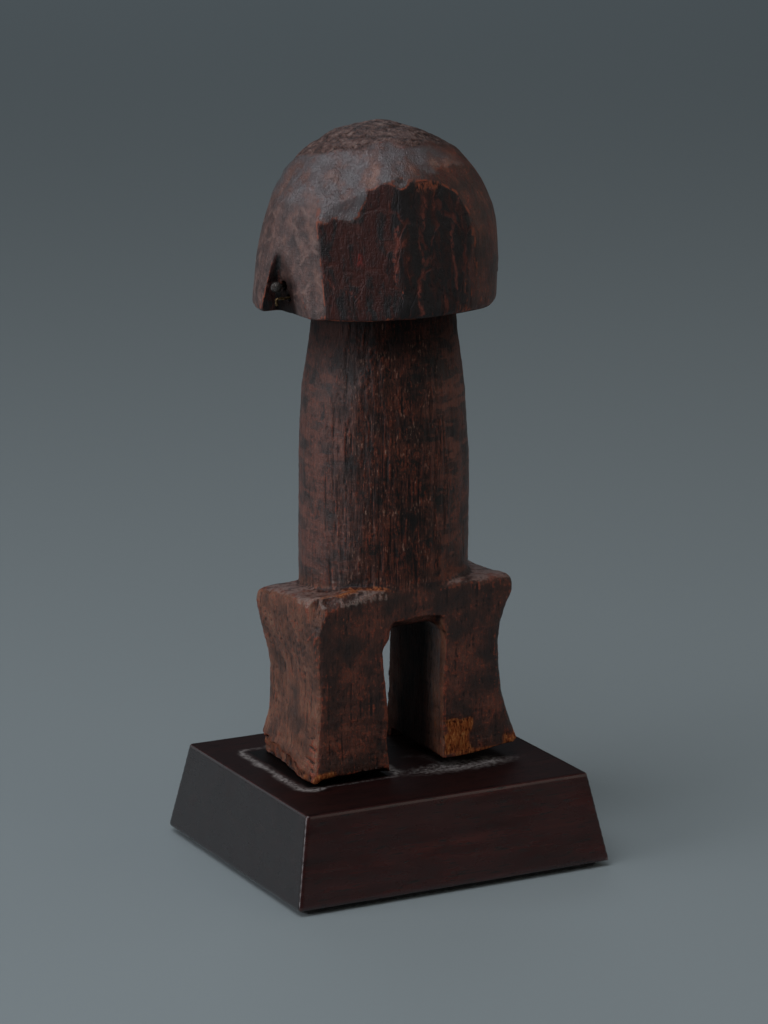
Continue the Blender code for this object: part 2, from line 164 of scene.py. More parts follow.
def make_camera():
    """A long lens, a little above the doll and to its left."""
    camera = bpy.data.objects.new("camera", bpy.data.cameras.new("camera"))
    bpy.context.scene.collection.objects.link(camera)
    azimuth, drop = math.radians(VIEW_AZIMUTH), math.radians(VIEW_DROP)
    forward = Vector((
        math.sin(azimuth) * math.cos(drop),
        math.cos(azimuth) * math.cos(drop),
        -math.sin(drop),
    ))
    camera.location = VIEW_TARGET - forward * VIEW_DISTANCE
    camera.rotation_euler = forward.to_track_quat("-Z", "Y").to_euler()
    camera.data.lens = LENS
    camera.data.sensor_width = 36.0
    camera.data.clip_start = 0.05
    bpy.context.scene.camera = camera


def area_light(name, place, aim, size, radiance, colour):
    """A soft lamp that looks at a point, as bright as a card of that radiance."""
    data = bpy.data.lights.new(name, "AREA")
    data.shape = "RECTANGLE"
    data.size, data.size_y = size
    data.energy = radiance * math.pi * size[0] * size[1]
    data.color = linear(colour)[:3]
    lamp = bpy.data.objects.new(name, data)
    lamp.location = place
    lamp.rotation_euler = (Vector(aim) - Vector(place)).to_track_quat("-Z", "Y").to_euler()
    lamp.visible_camera = False
    bpy.context.scene.collection.objects.link(lamp)


def make_room():
    """A pale floor, a broad lamp on the left, one overhead, weaker ones around and dim light all round."""
    bm = bmesh.new()
    bmesh.ops.create_grid(bm, x_segments=1, y_segments=1, size=6.0)
    mesh = bpy.data.meshes.new("floor")
    bm.to_mesh(mesh)
    bm.free()
    floor = bpy.data.objects.new("floor", mesh)
    bpy.context.scene.collection.objects.link(floor)
    sweep, shader = new_material("matt_paper_sweep")
    shader.inputs["Base Color"].default_value = linear("A6B2B4")
    shader.inputs["Roughness"].default_value = 0.9
    shader.inputs["IOR"].default_value = 1.3
    mesh.materials.append(sweep)

    centre = (0.0, 0.0, 0.09)
    area_light("key", (-1.20, 0.05, 0.45), centre, (1.0, 0.8), 1.9, "FAF8FF")
    area_light("top", (-0.42, -0.33, 1.02), centre, (0.7, 0.7), 2.5, "F6F8FF")
    area_light("side_card", (-0.95, 1.60, 0.45), centre, (1.0, 0.8), 0.35, "F4F8FF")
    area_light("back", (1.0, 3.0, 2.6), (0.8, 2.6, 0.0), (1.8, 1.6), 1.36, "EEF4FF")
    area_light("fill", (0.9, -1.1, 0.7), centre, (1.0, 1.0), 0.40, "FFF2E6")
    area_light("rim", (1.30, 0.0, 0.50), centre, (0.8, 0.8), 0.40, "FFF6F0")
    world = bpy.data.worlds.new("dim_studio")
    bpy.context.scene.world = world
    world.use_nodes = True
    world.node_tree.nodes["Background"].inputs["Color"].default_value = linear("9AA2A4")
    world.node_tree.nodes["Background"].inputs["Strength"].default_value = 0.10
    bpy.context.scene.view_settings.view_transform = "Standard"


# ---------------------------------------------------------------- material helpers

def new_material(name):
    """An empty Principled material and its shader."""
    material = bpy.data.materials.new(name)
    material.use_nodes = True
    return material, material.node_tree.nodes["Principled BSDF"]


def add(tree, kind, inputs, out=0, stops=(), **settings):
    """Add a node with its settings, ramp stops, and values or links for its inputs; give back one output."""
    node = tree.nodes.new("ShaderNode" + kind)
    for name, value in settings.items():
        setattr(node, name, value)
    for name, value in inputs.items():
        if isinstance(value, bpy.types.NodeSocket):
            tree.links.new(value, node.inputs[name])
        else:
            node.inputs[name].default_value = value
    for index, (position, colour) in enumerate(stops):
        if index >= len(node.color_ramp.elements):
            node.color_ramp.elements.new(position)
        node.color_ramp.elements[index].position = position
        node.color_ramp.elements[index].color = colour
    return node.outputs[out]


def patterns(tree, masks, sizes):
    """What a material reads, by name.

    That is the place in object coordinates, the masks sculpted into the piece, and clouds, each from its
    size in mm along X, Y and Z and its detail.
    """
    found = {"place": add(tree, "TexCoord", {}, out="Object")}
    for name in masks:
        found[name] = add(tree, "Attribute", {}, out="Fac", attribute_name=name)
    for name, (size, detail) in sizes.items():
        rates = [1 / (length * MM) for length in size]
        spread = add(tree, "Mapping", {"Vector": found["place"], "Scale": rates})
        found[name] = add(tree, "TexNoise", {
            "Vector": spread, "Scale": 1.0, "Detail": detail, "Roughness": 0.6,
        })
    return found


def laid_over(tree, found, base, layers, kind="RGBA", blend="MIX"):
    """Lay colours or numbers over a base, one by one.

    Each layer is a value, its strength, and the patterns that limit it. A pattern with two numbers is
    stretched, so that it goes from 0 to 1 as it passes from the first to the second.
    """
    first, out = (6, 2) if kind == "RGBA" else (2, 0)
    for layer, amount, *limits in layers:
        for name, *ends in limits:
            share = found[name]
            if ends:
                share = add(tree, "MapRange", {
                    "Value": share, "From Min": ends[0], "From Max": ends[1],
                }, interpolation_type="SMOOTHSTEP")
            amount = add(tree, "Math", {0: share, 1: amount}, operation="MULTIPLY")
        base = add(tree, "Mix", {
            0: amount, first: base, first + 1: layer,
        }, out=out, data_type=kind, blend_type=blend)
    return base


def bent(tree, place, size, amount):
    """Object coordinates pushed about by noise of a size and amount in mm."""
    push = add(tree, "TexNoise", {"Vector": place, "Scale": 1 / (size * MM), "Detail": 3.0}, out="Color")
    push = add(tree, "VectorMath", {0: push, 1: (0.5, 0.5, 0.5)}, operation="SUBTRACT")
    push = add(tree, "VectorMath", {0: push, "Scale": 2 * amount * MM}, operation="SCALE")
    return add(tree, "VectorMath", {0: place, 1: push}, operation="ADD")


# ---------------------------------------------------------------- sculpting

class Surface:
    """A dense closed mesh whose points are moved like clay, in mm."""

    def __init__(self, node, voxel):
        self.mesh = remeshed(merged_copy(node), voxel * MM)
        self.points = np.empty(len(self.mesh.vertices) * 3, np.float32)
        self.mesh.vertices.foreach_get("co", self.points)
        self.points = self.points.reshape(-1, 3).astype(float) / MM
        edges = np.empty(len(self.mesh.edges) * 2, np.int32)
        self.mesh.edges.foreach_get("vertices", edges)
        self.edges = edges.reshape(-1, 2)
        self.count = np.bincount(self.edges.ravel(), minlength=len(self.points)).astype(float)
        self.low, self.high = (np.array(corner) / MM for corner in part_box(node))
        self.masks = {}

    def neighbours(self, values):
        """The mean of each point's neighbours, for an array of numbers or of points."""
        first, second = self.edges.T
        if values.ndim == 1:
            total = np.bincount(first, values[second], len(values))
            total += np.bincount(second, values[first], len(values))
            return total / self.count
        columns = [self.neighbours(np.ascontiguousarray(column)) for column in values.T]
        return np.stack(columns, axis=1)

    def normals(self):
        """Outward unit normals at the points as they stand now."""
        self.mesh.vertices.foreach_set("co", (self.points * MM).astype(np.float32).ravel())
        self.mesh.update()
        found = np.empty(len(self.points) * 3, np.float32)
        self.mesh.vertex_normals.foreach_get("vector", found)
        return found.reshape(-1, 3).astype(float)

    def smooth(self, turns):
        """Draw each point halfway to the mean of its neighbours."""
        for _ in range(turns):
            self.points += 0.5 * (self.neighbours(self.points) - self.points)

    def even(self, values, turns):
        """Spread a mask's values over the neighbours."""
        for _ in range(turns):
            values = 0.5 * values + 0.5 * self.neighbours(values)
        return values

    def ridge(self, spread):
        """How far each point stands above its neighbours, in mm: ridges above 0, hollows below."""
        lift = self.points - self.neighbours(self.points)
        return self.even(np.einsum("ij,ij->i", lift, self.normals()), spread)

    def push(self, depth):
        """Move each point along its normal by a depth in mm."""
        self.points += self.normals() * depth[:, None]

    def shave(self, start, end, outward, depth, reach, roughness):
        """Wear an edge down to a rough plane, as deep as given below it, and fade out at the reach."""
        outward = np.array(outward, float)
        outward /= np.linalg.norm(outward)
        beyond = (self.points - np.array(start)) @ outward + depth * (1 + roughness)
        beyond = np.maximum(beyond, 0.0)
        near = 1 - smoothstep(reach * 0.35, reach, from_line(self.points, start, end))
        self.points -= (beyond * near)[:, None] * outward

    def score(self, start, end, width, depth):
        """Cut a crack with tapered ends between two places on the surface."""
        middle = (np.array(start) + np.array(end)) / 2
        half = np.linalg.norm(np.array(end) - np.array(start)) / 2
        taper = 1 - smoothstep(0.5, 1.05, np.linalg.norm(self.points - middle, axis=1) / half)
        across = from_line(self.points, start, end)
        self.push(-depth * np.exp(-(across / width) ** 2) * taper)

    def dent(self, place, reach, direction):
        """Press in or draw out the surface round a place, by a direction that fades out at the reach."""
        distance = np.linalg.norm((self.points - np.array(place)) / np.array(reach), axis=1)
        self.points += (1 - smoothstep(0.0, 1.0, distance))[:, None] * np.array(direction)

    def sample(self, octaves, per_mm, shift=0.0):
        """A fractal noise at every point, with periods per millimetre along each axis."""
        scaled = self.points * np.array(per_mm) + shift
        return np.array([noise.fractal(Vector(point), 1.0, 2.0, octaves) for point in scaled])

    def cells(self, per_mm):
        """The distance from every point to the nearest of many scattered centres."""
        scaled = self.points * np.array(per_mm)
        return np.array([noise.voronoi(Vector(point))[0][0] for point in scaled])

    def finish(self, name, body, node, material, triangles=None):
        """Write the points and masks back, thin the mesh if asked, and put it in place of its CAD node."""
        self.points = np.clip(self.points, self.low, self.high)
        self.normals()
        for mask, values in self.masks.items():
            layer = self.mesh.attributes.new(mask, "FLOAT", "POINT")
            layer.data.foreach_set("value", np.clip(values, 0, 1).astype(np.float32))
        if triangles:
            self.mesh.calc_loop_triangles()
            self.mesh = evaluated(self.mesh, "DECIMATE", ratio=triangles / len(self.mesh.loop_triangles))
        self.mesh.shade_smooth()
        self.mesh.materials.clear()
        self.mesh.materials.append(material)
        return link(name, self.mesh, body, node)


def merged_copy(node):
    """A CAD node's triangles as one joined bmesh."""
    bm = bmesh.new()
    bm.from_mesh(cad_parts[node].data)
    bmesh.ops.remove_doubles(bm, verts=bm.verts, dist=1e-7)
    return bm


def evaluated(mesh, kind, **settings):
    """A mesh after one modifier."""
    holder = bpy.data.objects.new("holder", mesh)
    bpy.context.scene.collection.objects.link(holder)
    step = holder.modifiers.new("step", kind)
    for name, value in settings.items():
        setattr(step, name, value)
    graph = bpy.context.evaluated_depsgraph_get()
    result = bpy.data.meshes.new_from_object(holder.evaluated_get(graph))
    bpy.data.objects.remove(holder)
    bpy.data.meshes.remove(mesh)
    return result


def remeshed(bm, voxel):
    """The same solid skinned with even small quads."""
    rough = bpy.data.meshes.new("rough")
    bm.to_mesh(rough)
    bm.free()
    return evaluated(rough, "REMESH", mode="VOXEL", voxel_size=voxel)


def link(name, mesh, body, node):
    """Put a finished mesh in the scene in place of a CAD node."""
    piece = bpy.data.objects.new(name, mesh)
    bpy.context.scene.collection.objects.link(piece)
    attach(piece, body)
    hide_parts(node)
    return piece


# ---------------------------------------------------------------- the carving

def sculpt_carving():
    """The doll as the knife, handling and decay have left it."""
    surface = Surface("carved_figure", CARVING_VOXEL)
    surface.smooth(3)
    x, y, z = surface.points.T.copy()
    facing = surface.normals()
    head = smoothstep(RIM - 1.2, RIM + 0.2, z)
    legs = 1 - smoothstep(HIPS - 3, HIPS + 3, z)
    torso = 1 - np.maximum(head, legs)
    outside = smoothstep(-0.9, -0.6, facing[:, 2])
    chipping = surface.sample(3, (0.35, 0.35, 0.35))

    wear_down(surface, x, z, chipping)
    # slow waves of a hand-held blank
    surface.push(0.5 * surface.sample(2, (0.04, 0.04, 0.03)) - 0.10)
    # round scoops on the head and legs, long flats on the torso
    scoop = 1 - smoothstep(0.0, 0.75, surface.cells((0.12, 0.12, 0.10)))
    surface.push(-0.45 * scoop * (head * 0.5 + legs * 0.7) * outside)
    flat = 1 - smoothstep(0.0, 0.7, surface.cells((0.17, 0.17, 0.035)))
    surface.push(-0.28 * flat * torso)
    slanting_strokes(surface, x, y, z, facing)

    crown = flake_crown(surface, y, z, head)
    hem = FILM_HEM + 12.0 * smoothstep(-18.0, -10.0, x) + 1.6 * chipping
    hang = smoothstep(-0.5, 0.5, z - hem) * smoothstep(0.50, 0.70, -facing[:, 1])
    # the film: surfaces facing up and to the left; its wrinkles are carved, its grey colour is painted sheen
    film = smoothstep(0.30, 0.50, facing[:, 2]) * smoothstep(-0.15, 0.15, -facing[:, 0])
    film = head * (1 - crown) * np.maximum(film, hang)
    wrinkle_head(surface, crown, film, hang)

    open_grain(surface, z, facing, head, legs, torso, outside)
    for crack in CRACKS:
        surface.score(*crack)
    # nicks along the edges
    worn = smoothstep(0.010, 0.06, surface.ridge(2))
    nick = smoothstep(0.0, 0.5, surface.sample(2, (0.22, 0.22, 0.22), 2.0))
    surface.push(-0.10 * worn * nick * outside)

    surface.masks = wood_masks(surface, head, legs, torso, crown, film, chipping)
    surface.masks.update(face_masks(surface, head * (1 - crown), head, hang, chipping))
    return surface.finish(
        "carving", "figure", "carved_figure", patinated_hardwood(), CARVING_TRIANGLES,
    )


def wear_down(surface, x, z, chipping):
    """Rubbed and pared edges, the split foot, the cut-in back and the large hollows."""
    for start, end, outward, depth, reach in WORN_EDGES:
        surface.shave(start, end, outward, depth, reach, 0.12 * chipping)
    broken_foot(surface, chipping)
    # the back leans in from the head down to the legs
    back = 17.9 + 0.62 * np.maximum(z - 62.0, 0.0) + 0.3 * chipping
    surface.points[:, 1] = np.where(z > 60.0, np.minimum(surface.points[:, 1], back), surface.points[:, 1])
    # the inner part of the right sole hangs lower
    inner = (x > 4.0) * (1 - smoothstep(18.0, 29.0, x))
    surface.points[:, 2] -= 1.2 * (1 - smoothstep(28.0, 36.0, z)) * inner
    surface.smooth(2)
    for place, reach, direction in HOLLOWS:
        surface.dent(place, reach, direction)


def slanting_strokes(surface, x, y, z, facing):
    """Fine adze strokes, 1.7 mm apart, high on the left leg's outer side."""
    along = 0.56 * y + 0.83 * z + 1.5 * surface.sample(2, (0.1, 0.1, 0.1))
    stroke = np.sin(2 * math.pi * along / 1.7) * smoothstep(0.35, 0.75, -facing[:, 0])
    height = smoothstep(50.0, 60.0, z) * (1 - smoothstep(66.0, 70.0, z))
    surface.push(0.05 * stroke * (x < -20.0) * height)


def flake_crown(surface, y, z, head):
    """The eroded crown: thin flakes with torn edges; give back where it is."""
    edge = CROWN + 4.0 * surface.sample(3, (0.07, 0.07, 0.07)) - 0.25 * (y - 2.0)
    crown = smoothstep(-1.0, 2.0, z - edge) * head
    flake = surface.sample(4, (0.10, 0.12, 0.16), 7.0) * 4.0
    flake_step = np.floor(flake) + smoothstep(0.80, 0.97, flake - np.floor(flake))
    pits = smoothstep(0.25, 0.55, surface.sample(3, (0.25, 0.25, 0.4), 11.0))
    surface.push(crown * (0.15 * np.clip(flake_step, -2, 2) - 0.10 - 0.30 * pits))
    return crown


def wrinkle_head(surface, crown, film, hang):
    """The film on the upper left of the head, wavy and finely wrinkled, and creases between the flakes."""
    wave = surface.sample(2, (0.20, 0.20, 0.20), 3.0)
    wrinkle = np.abs(np.sin(7.0 * surface.sample(3, (0.16, 0.12, 0.20), 21.0) + 2.0 * wave))
    surface.push(film * (0.50 * wave + 0.10 * hang - 0.02 * (1 - smoothstep(0.0, 0.5, wrinkle))))
    surface.push(-0.14 * crown * (1 - smoothstep(0.0, 0.45, wrinkle)))


def open_grain(surface, z, facing, head, legs, torso, outside):
    """Upright fibre, cross marks left by the blade and hairline splits, strongest on the belly."""
    belly = torso * (0.45 + 0.55 * smoothstep(0.55, 1.0, -0.35 * facing[:, 0] - 0.94 * facing[:, 1]))
    fibre = surface.sample(3, (0.85, 0.85, 0.07))
    chatter = surface.sample(2, (0.10, 0.10, 0.75), 5.0)
    surface.push(outside * 0.20 * fibre * (belly + 0.6 * legs + 0.2 * head))
    surface.push(outside * 0.10 * chatter * (0.7 * torso + legs))
    split = 1 - smoothstep(0.0, 0.06, np.abs(surface.sample(2, (0.40, 0.40, 0.018), 9.0)))
    low_head = head * (1 - smoothstep(152.0, 160.0, z))
    surface.push(-0.24 * split * outside * (0.8 * belly + 0.4 * legs + 0.5 * low_head))


def wood_masks(surface, head, legs, torso, crown, film, chipping):
    """Where each colour and gloss of the wood goes, away from the face."""
    x, y, z = surface.points.T
    facing = surface.normals()
    relief = surface.ridge(1)
    left_side = smoothstep(0.35, 0.75, -facing[:, 0])
    # painted shade: darker between the legs, under the head, on the soles, in the left ear notch, across the
    # front of the torso and on the right of the crown
    gap = (1 - smoothstep(9.5, 12.0, np.abs(x + 0.2))) * (1 - smoothstep(64.0, 66.0, z))
    gap = gap * smoothstep(-13.0, -3.0, y) * (1 - smoothstep(0.3, 0.8, np.abs(facing[:, 1])))
    under_head = smoothstep(120.0, 141.0, z) * (1 - head)
    soles = smoothstep(0.5, 0.9, -facing[:, 2])
    middle = torso * smoothstep(0.70, 1.0, -0.35 * facing[:, 0] - 0.94 * facing[:, 1])
    notch = np.maximum(np.abs(z - 152.0) - 8.0, np.abs(y + 1.0) - 5.0)
    notch = head * (1 - smoothstep(-1.0, 1.0, notch)) * smoothstep(-30.5, -29.0, x) * (x < -20.0)
    right_crown = crown * smoothstep(0.0, 14.0, x)
    hip_edge = (z > 72.0) * (z < 78.0) * (x < -8.0) * (y < -6.0)
    hip_tops = smoothstep(70.0, 72.0, z) * (1 - smoothstep(78.0, 80.0, z))
    return {
        "ridge": smoothstep(0.006, 0.035, relief) * (1 - notch),
        # hollows, darkened in the colour as painted shade
        "hollow": smoothstep(0.006, 0.035, -relief),
        "crown": crown,
        # painted sheen: the film, coloured grey and made glossier
        "gloss": film,
        # painted sheen: the left-facing sides of the head and torso, coloured lighter grey
        "side": left_side * (head * (1 - crown) + 0.5 * torso),
        # painted light: the left-facing sides of the legs, coloured a lighter tan
        "tan": left_side * legs,
        "head": head,
        "torso": torso,
        "middle": middle,
        # painted shade: these places are coloured darker and also dulled
        "painted_shade": np.max([
            0.40 * middle, 0.95 * gap, 0.80 * under_head ** 1.5, soles, notch, 0.5 * right_crown,
        ], axis=0),
        "bare": surface.even(bare_wood(x, y, z, facing, chipping), 3),
        "pale": surface.even(smoothstep(0.008, 0.022, relief) * hip_edge, 1),
        # painted highlight: the upward-facing tops of the hips, coloured lighter
        "ledge_highlight": smoothstep(0.45, 0.8, facing[:, 2]) * hip_tops,
    }


def face_masks(surface, skin, head, hang, chipping):
    """The charcoal face of the head, its red side, veins and spot, and the torn lip above it."""
    x, y, z = surface.points.T
    facing = surface.normals()
    front = skin * smoothstep(0.58, 0.72, -facing[:, 1])
    front = front * (1 - smoothstep(0.36, 0.46, facing[:, 2])) * (1 - smoothstep(0.28, 0.40, facing[:, 0]))
    front = front * (1 - hang)
    sway = surface.sample(3, (0.12, 0.12, 0.16), 31.0)
    wander = np.stack([x + 1.7 * sway, z + 1.5 * chipping], axis=1)
    nearest = np.min([from_line(wander, start, end) for start, end in VEINS], axis=0)
    width = 0.42 + 0.34 * surface.sample(3, (0.30, 0.30, 0.20), 13.0)
    spot = np.hypot(x + 16.8, (z - 160.8) * 0.6) + 0.5 * chipping
    lip = np.hypot((x - 1.0) / 3.6, (z - FACE_TOP) / 1.2) + 0.4 * chipping
    return {
        "front": surface.even(front, 3),
        "red": front * (1 - smoothstep(-12.0, -6.0, x)),
        "vein": front * (1 - smoothstep(width * 0.3, width * 1.5, nearest)),
        "spot": front * (1 - smoothstep(0.2, 1.5, spot)),
        "lip": head * (y < -8.0) * (1 - smoothstep(0.6, 1.3, lip)),
    }


def broken_foot(surface, chipping):
    """The left foot's outer flare, split off below a ragged line at the back."""
    x, y, z = surface.points.T
    ragged = FOOT_BREAK + 1.2 * chipping + 0.10 * (y - 8.0)
    limit = -28.6 + 3.0 * smoothstep(-12.0, 14.0, y) + 0.5 * chipping
    below = 1 - smoothstep(-0.25, 0.25, z - ragged)
    surface.points[:, 0] += below * np.clip(limit - x, 0.0, None) * (x < -20.0)


def bare_wood(x, y, z, facing, ragged):
    """Where fresh wood shows: the patch and tip of the right foot, and chips on the left one."""
    inside = np.minimum(3.9 - np.abs(x - 13.4), 4.8 - np.abs(z - 33.0)) + 1.6 * ragged
    patch = smoothstep(-0.6, 1.0, inside) * (y < -10)
    tip = (1 - smoothstep(2.0, 5.0, np.hypot(x - 30.0, z - 29.5) + 2.0 * ragged)) * (y < -8)
    strip = (1 - smoothstep(0.6, 1.8, z - 28.2 + 0.5 * ragged)) * (x > 12.0) * (y < -10)
    toes = (1 - smoothstep(1.5, 4.5, np.hypot(x + 25.5, (z - 27.0) * 1.4) + 2.0 * ragged)) * (y < -9)
    heel = (1 - smoothstep(0.5, 2.0, np.abs(z - 28.5))) * (x < -24.0) * (y > 2)
    crease = 1 - smoothstep(0.4, 2.0, np.abs(z - HIPS) + ragged)
    crease = crease * (x < -4.0) * (y < 10) * smoothstep(0.1, 0.5, facing[:, 2])
    return np.max([patch, 0.75 * tip, 0.6 * strip, 0.8 * toes, 0.45 * heel, 0.6 * crease], axis=0)


def patinated_hardwood():
    """Dense hardwood, knife cut, then blackened by smoke and oiled by years of handling.

    The eye sees a dark greasy skin over red-brown wood: charcoal scales split by rust-red veins on the
    face of the head, a wrinkled film on its upper left coloured grey as painted sheen, like the left sides
    of head and torso, torn flakes on the crown, and fine upright fibre.
    """
    material, shader = new_material("patinated_hardwood")
    tree = material.node_tree
    masks = (
        "ridge", "hollow", "crown", "front", "red", "gloss", "side", "tan", "head", "torso", "middle",
        "painted_shade", "bare", "ledge_highlight", "pale", "vein", "spot", "lip",
    )
    found = patterns(tree, masks, {
        "fibre": ((0.40, 0.40, 6.0), 4.0),      # vessel lines, 0.3 to 0.5 mm apart in such wood
        "dash": ((0.50, 0.50, 1.7), 3.0),       # short strips where the skin is rubbed through
        "speck": ((0.75, 0.75, 1.0), 4.0),      # rubbed high spots
        "patch": ((6.0, 6.0, 7.0), 6.0),        # handling stains
        "band": ((10.0, 10.0, 3.2), 5.0),       # rubbed belts across the torso
        "grit": ((0.35, 0.35, 0.35), 3.0),      # dust baked into the grease
        "stain": ((3.0, 3.0, 4.0), 6.0),
        "flake": ((2.6, 2.0, 1.8), 5.0),        # torn flakes of the crown
        "scratch": ((4.0, 4.0, 0.30), 3.0),     # fine cross marks left by the knife
    })
    place = found["place"]
    # upright streaks, about 2.4 mm apart
    upright = [1 / (length * MM) for length in (2.4, 2.4, 13.0)]
    found["streak"] = add(tree, "TexNoise", {
        "Vector": add(tree, "Mapping", {"Vector": bent(tree, place, 8.0, 2.2), "Scale": upright}),
        "Scale": 1.0, "Detail": 6.0, "Roughness": 0.62,
    })
    # the cracks between scales 7 by 19 mm, and a fine crackle 5.5 mm across
    scales = [1 / (length * MM) for length in (7.0, 9.0, 19.0)]
    found["web"] = add(tree, "TexVoronoi", {
        "Vector": add(tree, "Mapping", {"Vector": bent(tree, place, 6.0, 3.4), "Scale": scales}),
        "Scale": 1.0,
    }, feature="DISTANCE_TO_EDGE")
    found["crackle"] = add(tree, "TexVoronoi", {
        "Vector": bent(tree, place, 4.0, 1.8), "Scale": 1 / (5.5 * MM),
    }, feature="DISTANCE_TO_EDGE")
    # creases where a cloud passes its middle value
    crumple = add(tree, "TexNoise", {
        "Vector": bent(tree, place, 3.0, 1.6), "Scale": 1 / (1.9 * MM), "Detail": 4.0, "Roughness": 0.55,
    })
    crumple = add(tree, "Math", {0: crumple, 1: 0.5}, operation="SUBTRACT")
    found["crumple"] = add(tree, "Math", {0: crumple}, operation="ABSOLUTE")

    colour = hardwood_colour(tree, found)
    tree.links.new(colour, shader.inputs["Base Color"])

    gloss = add(tree, "MapRange", {
        "Value": found["stain"], "From Min": 0.3, "From Max": 0.7, "To Min": 0.42, "To Max": 0.58,
    })
    gloss = laid_over(tree, found, gloss, [
        (0.30, 1.0, ("gloss",)),
        (0.50, 1.0, ("crown",)),
        (0.85, 1.0, ("painted_shade",)),
        (0.75, 1.0, ("bare", 0.35, 0.65)),
        (0.70, 1.0, ("web", 0.06, 0.01), ("front",)),
    ], kind="FLOAT")
    tree.links.new(gloss, shader.inputs["Roughness"])
    shader.inputs["IOR"].default_value = 1.5
    dull = add(tree, "Math", {0: found["painted_shade"], 1: found["bare"]}, operation="MAXIMUM")
    dry = add(tree, "Math", {0: found["front"], 1: 0.5, 2: dull}, operation="MULTIPLY_ADD")
    dry = add(tree, "MapRange", {"Value": dry, "To Min": 0.5, "To Max": 0.12})
    tree.links.new(dry, shader.inputs["Specular IOR Level"])
    grease = add(tree, "MapRange", {"Value": dull, "To Min": 0.22, "To Max": 0.0})
    grease = add(tree, "Math", {0: found["gloss"], 1: 0.7, 2: grease}, operation="MULTIPLY_ADD")
    grease = add(tree, "Math", {0: found["side"], 1: 0.25, 2: grease}, operation="MULTIPLY_ADD")
    tree.links.new(grease, shader.inputs["Coat Weight"])
    shader.inputs["Coat Roughness"].default_value = 0.28

    creased = add(tree, "Math", {0: found["gloss"], 1: 0.35, 2: found["crown"]}, operation="MULTIPLY_ADD")
    height = 0.0
    for pattern, ends, where, amount in (
        ("crumple", (0.0, 0.06), creased, 0.7), ("web", (0.0, 0.06), found["front"], 0.5),
        ("fibre", (), 1.0, 0.8), ("dash", (), 1.0, 0.9), ("speck", (), 1.0, 0.8),
        ("grit", (), 1.0, 0.4), ("scratch", (), 1.0, 0.4), ("flake", (), found["crown"], 1.5),
    ):
        share = found[pattern]
        if ends:
            share = add(tree, "MapRange", {
                "Value": share, "From Min": ends[0], "From Max": ends[1],
            }, interpolation_type="SMOOTHSTEP")
        share = add(tree, "Math", {0: share, 1: where}, operation="MULTIPLY")
        height = add(tree, "Math", {0: share, 1: amount, 2: height}, operation="MULTIPLY_ADD")
    relief = add(tree, "Bump", {"Height": height, "Strength": 1.0, "Distance": 0.20 * MM})
    for normal in ("Normal", "Coat Normal"):
        tree.links.new(relief, shader.inputs[normal])
    return material


